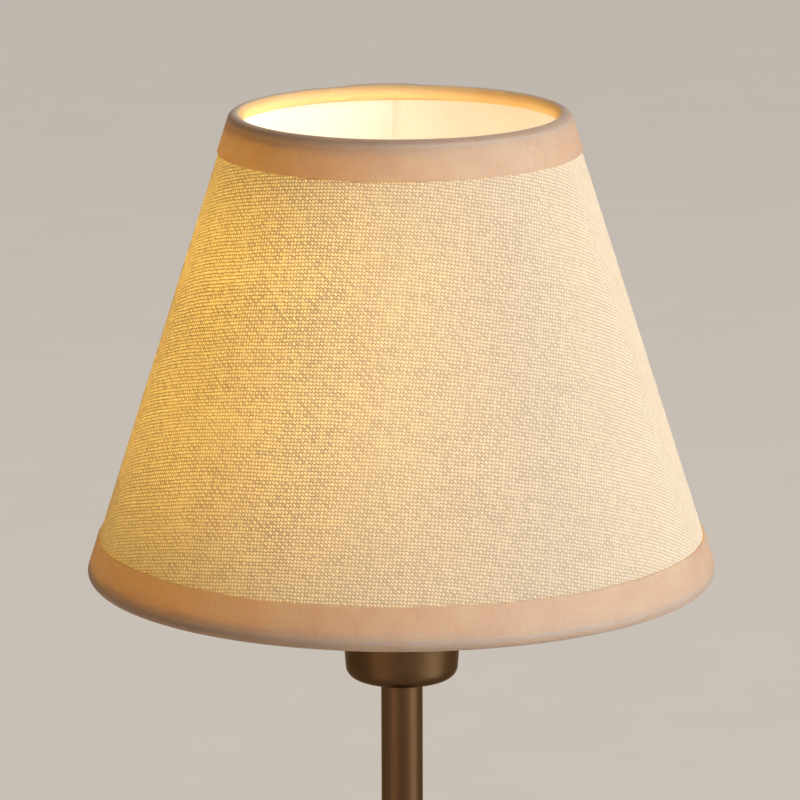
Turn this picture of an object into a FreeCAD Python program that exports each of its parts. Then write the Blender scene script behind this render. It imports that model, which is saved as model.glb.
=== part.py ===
import FreeCAD, Part
import math
import os

# Candle table lamp with a tapered linen shade that clips onto the bulb.
# Millimetres, +Z up, the origin at the centre of the base's underside, the cable inlet at +Y.

# Shade, measured over the rolled edges
shade_bottom_radius = 75.0
shade_top_radius = 40.8
shade_height = 112.0
linen_thickness = 0.45
lining_thickness = 0.35
tape_thickness = 0.35
glue_gap = 0.1
wire_gap = 0.1
bottom_tape_height = 9.7
top_tape_height = 9.7
ring_wire = 2.0
tape_lift_angle = 60.0
tape_notch_gap = 0.15

# Bulb clip inside the shade
arm_wire = 1.8
loop_wire = 1.6
loop_bulb_gap = 0.3
loop_half_height = 8.5
loop_half_angle = 50.0

# Base
base_radius = 57.5
rim_top = 15.0
rim_round = 3.0
step_radius = 51.0
step_top = 18.5
step_round = 1.8
step_foot_round = 0.8
cove_radius = 27.0
cove_round = 12.0
neck_radius = 13.5
neck_top = 27.0
neck_round = 1.6
sheet = 1.2
pad_thickness = 1.5
pad_inset = 2.0
weight_gap = 0.4
weight_boss_inset = 2.5
counterbore_radius = 13.0
counterbore_depth = 11.0
channel_width = 10.5
channel_height = 10.6

# Cable bush in the base's rim
bush_centre_height = 7.2
bush_bore_radius = 3.1
bush_wall = 0.8
bush_flange = 1.0
bush_flange_thickness = 1.8
bush_inside_length = 5.0
bush_mouth_round = 0.6
bush_hole_gap = 0.05

# Hollow threaded nipples, nuts and washers
nipple_radius = 4.0
nipple_bore_radius = 2.75
nipple_gap = 0.05
nipple_end_gap = 0.5
nipple_in_stem = 13.0
nipple_below_nut = 1.2
nipple_in_holder = 2.4
base_washer_radius = 11.0
base_washer_thickness = 1.5
base_nut_flats = 14.0
base_nut_height = 4.5
cup_washer_radius = 8.6
cup_washer_thickness = 1.0
cup_nut_flats = 12.0
cup_nut_height = 3.5
nut_chamfer = 0.5

# Collar at the foot of the stem
collar_floor = 4.0
collar_socket_depth = 7.5
collar_foot_radius = 11.5
collar_foot_height = 2.4
collar_waist_radius = 7.6
collar_waist_height = 2.2
collar_bead_radius = 9.2
collar_bead_height = 3.0
collar_lip_radius = 6.6
collar_round = 0.7
stem_gap = 0.05

# Stem
stem_radius = 5.0
stem_wall = 1.5
stem_length = 180.0

# Lamp cup
cup_foot_radius = 13.3
cup_rim_radius = 15.4
cup_height = 28.0
cup_corner_round = 3.0
cup_wall = 1.2
cup_lip_round = 0.4
shade_above_cup_foot = 25.6

# Candle sleeve and lamp holder
sleeve_gap = 0.1
sleeve_wall = 0.8
sleeve_below_mouth = 1.0
sleeve_lip_round = 0.35
holder_gap = 0.35
holder_height = 36.0
holder_base_height = 11.0
holder_base_floor = 2.6
holder_base_wall = 1.5
holder_mouth_round = 0.6
insulator_below_joint = 3.0
insulator_above_joint = 1.6
insulator_gap = 0.15
shell_wall = 0.45
shell_gap = 0.06
shell_below_mouth = 2.0
shell_body_gap = 0.1
contact_strip_width = 3.6
contact_strip_thickness = 0.4
contact_strip_length = 8.0
contact_strip_rise = 1.5
contact_gap = 0.3
screw_radius = 1.45
screw_head_radius = 2.3
screw_head_height = 1.4
screw_gap = 0.05
screw_offset = 5.2
screw_floor = 1.2
slot_width = 0.7
slot_depth = 0.6

# Bulb
cap_radius = 6.95
cap_wall = 0.4
cap_above_mouth = 2.5
cap_lip_round = 0.15
tip_radius = 2.4
tip_thickness = 1.2
insulator_nose_radius = 3.3
insulator_height = 2.6
insulator_plug = 1.2
glass_radius = 17.5
glass_length = 73.5
glass_wall = 0.8
glass_neck_gap = 0.05
glass_neck_depth = 6.0
glass_widest_share = 0.34
# Height along the glass and radius, as shares of the glass's length and of its radius
glass_outline_shares = (
    (0.09, 0.6),
    (0.2, 0.88),
    (0.34, 1.0),
    (0.52, 0.9),
    (0.7, 0.62),
    (0.86, 0.3),
    (0.96, 0.12),
)
mount_foot_gap = 0.25
mount_foot_height = 9.0
mount_stem_radius = 2.3
mount_stem_length = 11.0
filament_count = 4
filament_radius = 0.8
filament_length = 29.0
filament_circle_radius = 5.6
lead_radius = 0.35
lead_rise = 3.0

# Shared cutting overrun, the shortest line kept in an outline, whole turns and shares
overrun = 2.0
shortest_edge = 0.00001
full_turn = 360.0
half_turn = 180.0
quarter_turn = 90.0
flats_count = 6
half_share = 0.5
side_share = 0.49

origin = FreeCAD.Vector(0, 0, 0)
x_axis = FreeCAD.Vector(1, 0, 0)
y_axis = FreeCAD.Vector(0, 1, 0)
z_axis = FreeCAD.Vector(0, 0, 1)

# Heights that follow from the pieces below
collar_base = neck_top
stem_bottom = neck_top + collar_floor
cup_foot = stem_bottom + stem_length
cup_floor = cup_foot + cup_wall
cup_nut_base = cup_floor + cup_washer_thickness
holder_foot = cup_nut_base + cup_nut_height
holder_mouth = holder_foot + holder_height
holder_joint = holder_foot + holder_base_height
insulator_bottom = holder_joint - insulator_below_joint
insulator_top = holder_joint + insulator_above_joint
shade_bottom = cup_foot + shade_above_cup_foot
shade_top = shade_bottom + shade_height
cap_top = holder_mouth + cap_above_mouth
tip_bottom = insulator_top + contact_strip_rise + contact_strip_thickness + contact_gap
tip_top = tip_bottom + tip_thickness
cap_bottom = tip_top + insulator_height
glass_tip = cap_top + glass_length
glass_widest = cap_top + glass_length * glass_widest_share

# Radii that follow from the cup inwards
cup_inner_radius = cup_foot_radius - cup_wall
sleeve_radius = cup_inner_radius - sleeve_gap
sleeve_inner_radius = sleeve_radius - sleeve_wall
holder_radius = sleeve_inner_radius - holder_gap
shell_inner_radius = cap_radius + shell_gap
shell_radius = shell_inner_radius + shell_wall
thread_bore_radius = nipple_radius + nipple_gap
glass_neck_radius = cap_radius - cap_wall - glass_neck_gap

# Lines of the shade's side, from the centre of the lower roll to the centre of the upper one
rolled_thickness = ring_wire + 2 * wire_gap + lining_thickness + linen_thickness + glue_gap
tape_inner_radius = rolled_thickness / 2
roll_radius = tape_inner_radius + tape_thickness
linen_outer = tape_inner_radius - glue_gap
linen_inner = linen_outer - linen_thickness
lining_inner = linen_inner - lining_thickness
ring_offset = lining_inner - wire_gap - ring_wire / 2
lower_roll = FreeCAD.Vector(shade_bottom_radius - roll_radius, 0, shade_bottom + roll_radius)
upper_roll = FreeCAD.Vector(shade_top_radius - roll_radius, 0, shade_top - roll_radius)
slant = upper_roll - lower_roll
slant_length = slant.Length
up_slant = FreeCAD.Vector(slant).normalize()
out_slant = FreeCAD.Vector(up_slant.z, 0, -up_slant.x)
lower_ring_centre = lower_roll + out_slant * ring_offset
upper_ring_centre = upper_roll + out_slant * ring_offset

# Line of the bulb clip
loop_radius = glass_radius + loop_bulb_gap + loop_wire / 2
loop_top = glass_widest + loop_half_height
arm_foot = FreeCAD.Vector(loop_radius, 0, loop_top)


def corner(radius, height, round_radius=0):
    """A corner of a turned outline, with the radius of its rounding."""
    return FreeCAD.Vector(radius, 0, height), round_radius


def rounded_edges(corners):
    """The closed outline through the corners, each rounded no further than its sides allow."""
    count = len(corners)
    cuts = []
    for i, (point, round_radius) in enumerate(corners):
        back = corners[i - 1][0] - point
        ahead = corners[(i + 1) % count][0] - point
        shorter = min(back.Length, ahead.Length)
        back.normalize()
        ahead.normalize()
        half = back.getAngle(ahead) / 2
        setback = min(round_radius / math.tan(half), shorter * side_share)
        if setback < shortest_edge:
            cuts.append((point, None, point))
            continue
        middle = (back + ahead).normalize()
        reach = setback / math.cos(half) - setback * math.tan(half)
        cuts.append((point + back * setback, point + middle * reach, point + ahead * setback))
    edges = []
    for i, (start, middle, end) in enumerate(cuts):
        if middle is not None:
            edges.append(Part.Arc(start, middle, end).toShape())
        following = cuts[(i + 1) % count][0]
        if end.distanceToPoint(following) > shortest_edge:
            edges.append(Part.makeLine(end, following))
    return edges


def spin(edges):
    """A solid of revolution about the vertical axis from the edges of its half section."""
    face = Part.Face(Part.Wire(Part.__sortEdges__(edges)))
    return face.revolve(origin, z_axis, full_turn)


def turned(corners):
    """A turned solid from the corners of its half section."""
    return spin(rounded_edges(corners))


def inset(corners, depth):
    """The corners moved to the left of the outline by a depth, with their roundings kept parallel."""
    points = [point for point, round_radius in corners]
    lines = []
    for start, end in zip(points, points[1:]):
        along = (end - start).normalize()
        lines.append((along, FreeCAD.Vector(-along.z, 0, along.x)))
    moved = []
    for i, (point, round_radius) in enumerate(corners):
        if i == 0 or i == len(corners) - 1:
            left = lines[min(i, len(lines) - 1)][1]
            moved.append((point + left * depth, round_radius))
            continue
        before, left_before = lines[i - 1]
        after, left_after = lines[i]
        middle = left_before + left_after
        new_point = point + middle * (2 * depth / middle.dot(middle))
        bend = before.x * after.z - before.z * after.x
        change = -depth if bend > 0 else depth
        new_round = max(round_radius + change, 0) if round_radius else 0
        moved.append((new_point, new_round))
    return moved


def spun_sheet(corners, thickness):
    """A spun sheet, whose outer face follows the corners."""
    return turned(corners + inset(corners, thickness)[::-1])


def round_bar(radius, start, end):
    """A straight round bar between two points."""
    along = end - start
    return Part.makeCylinder(radius, along.Length, start, along)


def bent_bar(radius, start, heading, centre, axis, angle):
    """A round bar bent about an axis, from a start where it runs along its heading."""
    section = Part.Face(Part.Wire(Part.makeCircle(radius, start, heading)))
    return section.revolve(centre, axis, angle)


def fused(solids):
    """One solid from solids that meet face to face."""
    whole = solids[0].multiFuse(solids[1:])
    return whole.removeSplitter()


def hex_nut(flats, height, bore, bottom):
    """A hexagonal nut with both faces chamfered, standing on a height."""
    corner_radius = flats / 2 / math.cos(math.pi / flats_count)
    turn = 2 * math.pi / flats_count
    points = []
    for i in range(flats_count + 1):
        points.append(FreeCAD.Vector(math.cos(i * turn), math.sin(i * turn), 0) * corner_radius)
    prism = Part.Face(Part.makePolygon(points)).extrude(z_axis * height)
    prism.translate(z_axis * bottom)
    top = bottom + height
    face_radius = corner_radius - nut_chamfer * 2
    limits = turned([
        corner(bore, bottom),
        corner(face_radius, bottom),
        corner(corner_radius, bottom + nut_chamfer),
        corner(corner_radius, top - nut_chamfer),
        corner(face_radius, top),
        corner(bore, top),
    ])
    return prism.common(limits)


def ring(inner, outer, bottom, top, edge_round=0):
    """A flat ring or a tube with a square section, its outer edges rounded if asked."""
    return turned([
        corner(inner, bottom),
        corner(outer, bottom, edge_round),
        corner(outer, top, edge_round),
        corner(inner, top),
    ])


def to_inlet(shape):
    """Turns a shape made along the vertical axis so that it points out of the cable inlet."""
    shape.rotate(origin, x_axis, -quarter_turn)
    shape.translate(z_axis * bush_centre_height)
    return shape


def cover_corners():
    """The outer line of the base cover, from its lower lip up to the bore under the collar."""
    return [
        corner(base_radius, pad_thickness),
        corner(base_radius, rim_top, rim_round),
        corner(step_radius, rim_top, step_foot_round),
        corner(step_radius, step_top, step_round),
        corner(cove_radius, step_top, cove_round),
        corner(neck_radius, neck_top, neck_round),
        corner(thread_bore_radius, neck_top),
    ]


def make_base():
    """The spun cover over its iron weight, with the pad, the bush and what clamps them."""
    cover = spun_sheet(cover_corners(), sheet)
    barrel_radius = bush_bore_radius + bush_wall
    hole_radius = barrel_radius + bush_hole_gap
    hole_start = base_radius - sheet - overrun
    hole = Part.makeCylinder(hole_radius, sheet + 2 * overrun, z_axis * hole_start)
    cover = cover.cut(to_inlet(hole))

    flange_radius = barrel_radius + bush_flange
    flange_seat = math.sqrt(base_radius ** 2 - flange_radius ** 2)
    bush_start = base_radius - sheet - bush_inside_length
    bush_end = base_radius + bush_flange_thickness
    bush = to_inlet(turned([
        corner(bush_bore_radius, bush_start),
        corner(barrel_radius, bush_start),
        corner(barrel_radius, flange_seat),
        corner(flange_radius, flange_seat),
        corner(flange_radius, bush_end, bush_mouth_round),
        corner(bush_bore_radius, bush_end, bush_mouth_round),
    ]))
    bush = bush.cut(cover)

    pad = ring(0, base_radius - pad_inset, 0, pad_thickness)

    counterbore_top = pad_thickness + counterbore_depth
    weight_line = inset(cover_corners(), sheet + weight_gap)[:-1]
    boss_radius = weight_line[-1][0].x - weight_boss_inset
    boss_foot = weight_line[-1][0].z
    weight = turned(weight_line + [
        corner(boss_radius, boss_foot),
        corner(boss_radius, neck_top - sheet),
        corner(thread_bore_radius, neck_top - sheet),
        corner(thread_bore_radius, counterbore_top),
        corner(counterbore_radius, counterbore_top),
        corner(counterbore_radius, pad_thickness),
    ])
    channel_corner = FreeCAD.Vector(-channel_width / 2, 0, pad_thickness - overrun)
    channel = Part.makeBox(channel_width, base_radius, channel_height + overrun, channel_corner)
    weight = weight.cut(channel)

    washer_bottom = counterbore_top - base_washer_thickness
    nut_bottom = washer_bottom - base_nut_height
    washer = ring(thread_bore_radius, base_washer_radius, washer_bottom, counterbore_top)
    nut = hex_nut(base_nut_flats, base_nut_height, thread_bore_radius, nut_bottom)
    nipple = ring(
        nipple_bore_radius, nipple_radius, nut_bottom - nipple_below_nut, stem_bottom + nipple_in_stem
    )
    return {
        "base_cover": cover,
        "cable_bush": bush,
        "base_pad": pad,
        "base_weight": weight,
        "base_washer": washer,
        "base_nut": nut,
        "base_nipple": nipple,
    }


def make_stem():
    """The turned collar, the plain tube and the hollow nipple in the tube's upper end."""
    ledge = collar_base + collar_foot_height
    bead_bottom = ledge + collar_waist_height
    bead_top = bead_bottom + collar_bead_height
    lip_top = stem_bottom + collar_socket_depth
    socket_radius = stem_radius + stem_gap
    bead_round = collar_bead_height / 2
    collar = turned([
        corner(thread_bore_radius, collar_base),
        corner(collar_foot_radius, collar_base),
        corner(collar_foot_radius, ledge, collar_round),
        corner(collar_waist_radius, ledge, collar_round),
        corner(collar_waist_radius, bead_bottom),
        corner(collar_bead_radius, bead_bottom, bead_round),
        corner(collar_bead_radius, bead_top, bead_round),
        corner(collar_lip_radius, bead_top),
        corner(collar_lip_radius, lip_top, collar_round),
        corner(socket_radius, lip_top),
        corner(socket_radius, stem_bottom),
        corner(thread_bore_radius, stem_bottom),
    ])
    tapped = nipple_in_stem + nipple_end_gap
    bore_radius = stem_radius - stem_wall
    stem = turned([
        corner(thread_bore_radius, stem_bottom),
        corner(stem_radius, stem_bottom),
        corner(stem_radius, cup_foot),
        corner(thread_bore_radius, cup_foot),
        corner(thread_bore_radius, cup_foot - tapped),
        corner(bore_radius, cup_foot - tapped),
        corner(bore_radius, stem_bottom + tapped),
        corner(thread_bore_radius, stem_bottom + tapped),
    ])
    nipple_top = holder_foot + holder_base_floor + nipple_in_holder
    nipple = ring(nipple_bore_radius, nipple_radius, cup_foot - nipple_in_stem, nipple_top)
    return {"base_collar": collar, "stem_tube": stem, "top_nipple": nipple}


def make_cup():
    """The lamp cup on the stem, its washer and nut, and the candle sleeve that stands in it."""
    cup = spun_sheet([
        corner(thread_bore_radius, cup_foot),
        corner(cup_foot_radius, cup_foot, cup_corner_round),
        corner(cup_rim_radius, cup_foot + cup_height, cup_lip_round),
    ], cup_wall)
    washer = ring(thread_bore_radius, cup_washer_radius, cup_floor, cup_nut_base)
    nut = hex_nut(cup_nut_flats, cup_nut_height, thread_bore_radius, cup_nut_base)
    sleeve_foot = cup_floor + cup_corner_round - cup_wall
    sleeve_top = holder_mouth - sleeve_below_mouth
    sleeve = ring(sleeve_inner_radius, sleeve_radius, sleeve_foot, sleeve_top, sleeve_lip_round)
    return {"lamp_cup": cup, "cup_washer": washer, "cup_nut": nut, "candle_sleeve": sleeve}


def make_screw(side):
    """A slotted terminal screw under the insulator, on one side of the axis."""
    length = insulator_top - insulator_bottom - screw_floor - screw_gap
    foot = FreeCAD.Vector(side * screw_offset, 0, insulator_bottom)
    shank = Part.makeCylinder(screw_radius, length, foot)
    head_foot = foot - z_axis * screw_head_height
    head = Part.makeCylinder(screw_head_radius, screw_head_height, head_foot)
    slot_corner = head_foot - FreeCAD.Vector(screw_head_radius, slot_width / 2, overrun)
    slot = Part.makeBox(2 * screw_head_radius, slot_width, slot_depth + overrun, slot_corner)
    return fused([shank, head]).cut(slot)


def make_holder():
    """The lamp holder inside the sleeve, with its insulator, screws, thread shell and contact."""
    cavity_radius = holder_radius - holder_base_wall
    base_floor_top = holder_foot + holder_base_floor
    holder_base = turned([
        corner(thread_bore_radius, holder_foot),
        corner(holder_radius, holder_foot, holder_mouth_round),
        corner(holder_radius, holder_joint),
        corner(cavity_radius, holder_joint),
        corner(cavity_radius, base_floor_top),
        corner(thread_bore_radius, base_floor_top),
    ])
    body = turned([
        corner(cavity_radius, holder_joint),
        corner(holder_radius, holder_joint),
        corner(holder_radius, holder_mouth, holder_mouth_round),
        corner(shell_radius + shell_body_gap, holder_mouth, holder_mouth_round),
        corner(shell_radius + shell_body_gap, insulator_top),
        corner(cavity_radius, insulator_top),
    ])
    insulator = ring(0, cavity_radius - insulator_gap, insulator_bottom, insulator_top)
    hole_depth = insulator_top - insulator_bottom - screw_floor + overrun
    for side in (-1, 1):
        hole_foot = FreeCAD.Vector(side * screw_offset, 0, insulator_bottom - overrun)
        insulator = insulator.cut(Part.makeCylinder(screw_radius + screw_gap, hole_depth, hole_foot))
    shell = ring(shell_inner_radius, shell_radius, insulator_top, holder_mouth - shell_below_mouth)

    low = insulator_top
    high = low + contact_strip_rise
    half = contact_strip_length / 2
    step = contact_strip_rise / 2
    thick = contact_strip_thickness
    side_y = -contact_strip_width / 2
    line = [(-half, low), (-step, low), (step, high), (half, high)]
    top_line = [(x, z + thick) for x, z in line[::-1]]
    points = [FreeCAD.Vector(x, side_y, z) for x, z in line + top_line + line[:1]]
    contact = Part.Face(Part.makePolygon(points)).extrude(y_axis * contact_strip_width)
    return {
        "holder_base": holder_base,
        "holder_body": body,
        "holder_insulator": insulator,
        "terminal_screws": Part.makeCompound([make_screw(-1), make_screw(1)]),
        "holder_thread_shell": shell,
        "holder_centre_contact": contact,
    }


def glass_curve(points):
    """A smooth line up the side of the glass, upright at the neck and level at the tip."""
    curve = Part.BSplineCurve()
    curve.interpolate(Points=points, InitialTangent=z_axis, FinalTangent=-x_axis)
    return curve


def make_glass():
    """The hollow candle-shaped glass, whose neck stands in the cap."""
    neck_foot = cap_top - glass_neck_depth
    outer = [FreeCAD.Vector(glass_neck_radius, 0, cap_top)]
    for height_share, radius_share in glass_outline_shares:
        height = cap_top + glass_length * height_share
        outer.append(FreeCAD.Vector(glass_radius * radius_share, 0, height))
    outer.append(FreeCAD.Vector(0, 0, glass_tip))
    outer_curve = glass_curve(outer)
    inner = []
    for point in outer:
        along = FreeCAD.Vector(*outer_curve.tangent(outer_curve.parameter(point))[0])
        inner.append(point + FreeCAD.Vector(-along.z, 0, along.x) * glass_wall)
    inner_curve = glass_curve(inner)
    outer_foot = FreeCAD.Vector(glass_neck_radius, 0, neck_foot)
    inner_foot = FreeCAD.Vector(inner[0].x, 0, neck_foot)
    return spin([
        Part.makeLine(outer_foot, outer[0]),
        outer_curve.toShape(),
        Part.makeLine(outer[-1], inner[-1]),
        inner_curve.toShape(),
        Part.makeLine(inner[0], inner_foot),
        Part.makeLine(inner_foot, outer_foot),
    ])


def make_bulb():
    """The bulb: cap, insulator and tip below, glass above, with the mount and filaments inside."""
    cap_inner_radius = cap_radius - cap_wall
    tip = ring(0, tip_radius, tip_bottom, tip_top)
    insulator = turned([
        corner(0, tip_top),
        corner(insulator_nose_radius, tip_top),
        corner(cap_inner_radius, cap_bottom),
        corner(cap_inner_radius - glass_neck_gap, cap_bottom),
        corner(cap_inner_radius - glass_neck_gap, cap_bottom + insulator_plug),
        corner(0, cap_bottom + insulator_plug),
    ])
    cap = ring(cap_inner_radius, cap_radius, cap_bottom, cap_top, cap_lip_round)

    mount_foot = cap_top - glass_neck_depth
    mount_foot_top = mount_foot + mount_foot_height
    mount_top = mount_foot_top + mount_stem_length
    mount = turned([
        corner(0, mount_foot),
        corner(glass_neck_radius - glass_wall - mount_foot_gap, mount_foot),
        corner(mount_stem_radius, mount_foot_top, mount_foot_height),
        corner(mount_stem_radius, mount_top),
        corner(0, mount_top),
    ])

    filament_bottom = mount_top + lead_rise
    filament_top = filament_bottom + filament_length
    filaments = []
    leads = [round_bar(lead_radius, z_axis * mount_top, z_axis * (filament_top + lead_rise))]
    for i in range(filament_count):
        bearing = 2 * math.pi * (i + half_share) / filament_count
        outward = FreeCAD.Vector(math.cos(bearing), math.sin(bearing), 0)
        foot = outward * filament_circle_radius + z_axis * filament_bottom
        head = outward * filament_circle_radius + z_axis * filament_top
        filaments.append(round_bar(filament_radius, foot, head))
        lead_foot = outward * (mount_stem_radius / 2) + z_axis * (mount_top - lead_radius)
        leads.append(round_bar(lead_radius, lead_foot, foot))
        leads.append(round_bar(lead_radius, z_axis * (filament_top + lead_rise - lead_radius), head))
    lead_set = fused(leads).cut(mount)
    for filament in filaments:
        lead_set = lead_set.cut(filament)
    return {
        "bulb_tip_contact": tip,
        "bulb_insulator": insulator,
        "bulb_cap": cap,
        "bulb_glass": make_glass(),
        "bulb_mount": mount,
        "bulb_filaments": Part.makeCompound(filaments),
        "bulb_leads": lead_set,
    }


def slant_point(centre, along, out, up):
    """A point of the shade's section, out from the line of the rolls and along it from one of them."""
    return centre + out_slant * out + along * up


def side_wall(inner, outer):
    """A conical wall between two distances from the line of the rolls, from one roll to the other."""
    low_inner = slant_point(lower_roll, up_slant, inner, 0)
    low_outer = slant_point(lower_roll, up_slant, outer, 0)
    high_outer = slant_point(lower_roll, up_slant, outer, slant_length)
    high_inner = slant_point(lower_roll, up_slant, inner, slant_length)
    points = [low_inner, low_outer, high_outer, high_inner, low_inner]
    return spin(Part.makePolygon(points).Edges)


def tape_roll(centre, along, face_height):
    """The tape over one edge of the shade: up the outside, round the wire and back onto the lining."""
    face_length = (face_height - roll_radius) / up_slant.z
    lift = math.radians(tape_lift_angle)
    half_lift = lift / 2
    wire_radius = ring_wire / 2 + wire_gap
    outer_wire_radius = wire_radius + tape_thickness

    def at(out, up):
        return slant_point(centre, along, out, up)

    def on_wire(radius, angle):
        return at(ring_offset - radius * math.cos(angle), radius * math.sin(angle))

    def landing(radius):
        leave_out = ring_offset - radius * math.cos(lift)
        leave_up = radius * math.sin(lift)
        return at(lining_inner, leave_up + (lining_inner - leave_out) / math.tan(lift))

    outer_roll = Part.Arc(at(roll_radius, 0), at(0, -roll_radius), at(-roll_radius, 0))
    inner_roll = Part.Arc(at(tape_inner_radius, 0), at(0, -tape_inner_radius), at(-tape_inner_radius, 0))
    outer_bend = Part.Arc(
        at(-roll_radius, 0), on_wire(outer_wire_radius, half_lift), on_wire(outer_wire_radius, lift)
    )
    inner_bend = Part.Arc(
        at(-tape_inner_radius, 0), on_wire(wire_radius, half_lift), on_wire(wire_radius, lift)
    )
    return spin([
        Part.makeLine(at(tape_inner_radius, 0), at(tape_inner_radius, face_length)),
        Part.makeLine(at(tape_inner_radius, face_length), at(roll_radius, face_length)),
        Part.makeLine(at(roll_radius, face_length), at(roll_radius, 0)),
        outer_roll.toShape(),
        outer_bend.toShape(),
        Part.makeLine(on_wire(outer_wire_radius, lift), landing(outer_wire_radius)),
        Part.makeLine(landing(outer_wire_radius), landing(wire_radius)),
        Part.makeLine(landing(wire_radius), on_wire(wire_radius, lift)),
        inner_bend.toShape(),
        inner_roll.toShape(),
    ])


def wire_ring(centre):
    """A round wire hoop through a point of the half section."""
    return Part.makeTorus(centre.x, ring_wire / 2, z_axis * centre.z)


def make_loop():
    """One closed loop of spring wire, bowed round the side of the bulb that faces +X."""
    half_angle = math.radians(loop_half_angle)
    radius = loop_wire / 2
    bottom = glass_widest - loop_half_height
    parts = []
    for height in (bottom, loop_top):
        start = FreeCAD.Vector(math.cos(half_angle), -math.sin(half_angle), 0) * loop_radius
        heading = FreeCAD.Vector(math.sin(half_angle), math.cos(half_angle), 0)
        level = z_axis * height
        parts.append(bent_bar(radius, start + level, heading, level, z_axis, 2 * loop_half_angle))
    for side in (-1, 1):
        outward = FreeCAD.Vector(math.cos(half_angle), side * math.sin(half_angle), 0)
        heading = FreeCAD.Vector(-math.sin(half_angle), side * math.cos(half_angle), 0)
        end = outward * loop_radius
        centre = end + z_axis * glass_widest
        parts.append(bent_bar(radius, end + z_axis * loop_top, heading, centre, outward * -side, half_turn))
    return fused(parts)


def opposite(shape):
    """A copy turned half way round the vertical axis."""
    copy = shape.copy()
    copy.rotate(origin, z_axis, half_turn)
    return copy


def make_shade():
    """The linen cone with its lining, hoops and rolled tapes, and the clip that carries it."""
    upper_hoop = wire_ring(upper_ring_centre)
    loop = make_loop()
    arm = round_bar(arm_wire / 2, arm_foot, upper_ring_centre).cut(upper_hoop).cut(loop)
    notch_radius = arm_wire / 2 + tape_notch_gap
    notch = round_bar(notch_radius, arm_foot, upper_ring_centre)
    top_trim = tape_roll(upper_roll, -up_slant, top_tape_height)
    top_trim = top_trim.cut(notch).cut(opposite(notch))
    return {
        "shade_cover": side_wall(linen_inner, linen_outer),
        "shade_lining": side_wall(lining_inner, linen_inner),
        "bottom_trim": tape_roll(lower_roll, up_slant, bottom_tape_height),
        "top_trim": top_trim,
        "bottom_ring": wire_ring(lower_ring_centre),
        "top_ring": upper_hoop,
        "clip_arms": Part.makeCompound([arm, opposite(arm)]),
        "clip_loops": Part.makeCompound([loop, opposite(loop)]),
    }


def main():
    os.makedirs("parts", exist_ok=True)
    for make in (make_base, make_stem, make_cup, make_holder, make_bulb, make_shade):
        for node, shape in make().items():
            shape.exportStep(os.path.join("parts", node + ".step"))
            print(node, len(shape.Solids), round(shape.Volume), shape.isValid())


main()
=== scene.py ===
"""Candle table lamp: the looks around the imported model. Lengths are in mm until scaled by MM."""

import math

import bpy
import numpy as np
from mathutils import Matrix, Vector, noise


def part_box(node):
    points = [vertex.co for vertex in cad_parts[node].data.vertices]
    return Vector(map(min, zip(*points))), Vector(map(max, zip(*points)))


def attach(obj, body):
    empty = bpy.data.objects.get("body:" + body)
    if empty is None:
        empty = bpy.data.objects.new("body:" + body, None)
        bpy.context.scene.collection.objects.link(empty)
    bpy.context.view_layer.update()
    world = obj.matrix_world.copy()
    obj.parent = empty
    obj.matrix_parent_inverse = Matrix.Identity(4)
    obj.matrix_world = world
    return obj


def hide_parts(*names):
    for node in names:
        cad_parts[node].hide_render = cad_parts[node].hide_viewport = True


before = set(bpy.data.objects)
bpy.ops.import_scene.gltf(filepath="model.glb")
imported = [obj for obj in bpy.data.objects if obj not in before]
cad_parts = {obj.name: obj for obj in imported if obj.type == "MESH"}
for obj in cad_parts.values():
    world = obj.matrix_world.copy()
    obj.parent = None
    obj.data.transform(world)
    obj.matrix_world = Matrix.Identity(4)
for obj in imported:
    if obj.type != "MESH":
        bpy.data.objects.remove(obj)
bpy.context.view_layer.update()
scene = bpy.context.scene
MM = 0.001
TURN = 2 * math.pi

# Sizes of the shade, as in the CAD source
SHADE_BOTTOM, SHADE_HEIGHT = 236.6, 112.0
BOTTOM_RADIUS, TOP_RADIUS = 75.0, 40.8
TAPE, LINEN, LINING, GLUE = 0.35, 0.45, 0.35, 0.1
HOOP_WIRE, WIRE_GAP = 2.0, 0.1
BOTTOM_FACE, TOP_FACE = 9.7, 9.7
LEG_ANGLE = math.radians(60)

# The section of an edge: distances out from the centre of its roll
TAPE_INNER = (HOOP_WIRE + 2 * WIRE_GAP + LINING + LINEN + GLUE) / 2
ROLL = TAPE_INNER + TAPE
LINEN_OUT = TAPE_INNER - GLUE
LINING_IN = LINEN_OUT - LINEN - LINING
HOOP_OUT = LINING_IN - WIRE_GAP - HOOP_WIRE / 2

# The line between the centres of the two rolls, as (radius, height), and its directions
LOW = np.array([BOTTOM_RADIUS - ROLL, SHADE_BOTTOM + ROLL])
HIGH = np.array([TOP_RADIUS - ROLL, SHADE_BOTTOM + SHADE_HEIGHT - ROLL])
SLANT = float(np.linalg.norm(HIGH - LOW))
UP = (HIGH - LOW) / SLANT
OUT = np.array([UP[1], -UP[0]])
CONE = -UP[0]

# The glued lap at the back: bearings are from the front, -Y, round towards +X
SEAM = math.radians(182.4)
LAP, LAP_RISE, LAP_RAMP = 8.0, 0.85, 2.5
TAPE_RAMP = 2.2 * LAP_RAMP

# Rows and columns of the sheets' meshes, and columns of the tapes' meshes
SHEET_ROWS, SHEET_COLUMNS = 41, 360
TAPE_COLUMNS = 480

# How the tapes stray from their plain section, each as a depth and the length over which it changes:
# up and down the edge, out over the face, and in fine folds on the inner leg
WAVER_SHORT, WAVER_LONG = (0.16, 9.0), (0.22, 30.0)
SWELL, FOLDS = (0.05, 6.0), (0.16, 1.6)

# The way over a tape's section from the lip of its face, which the top tape counts below 0: where the roll
# sets in, and where the inner leg does on the bottom tape and on the top one
ROLL_FROM, BOTTOM_LEG_FROM, TOP_LEG_FROM = (7.9, 9.4), (12.6, 14.6), (11.1, 12.3)

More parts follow.
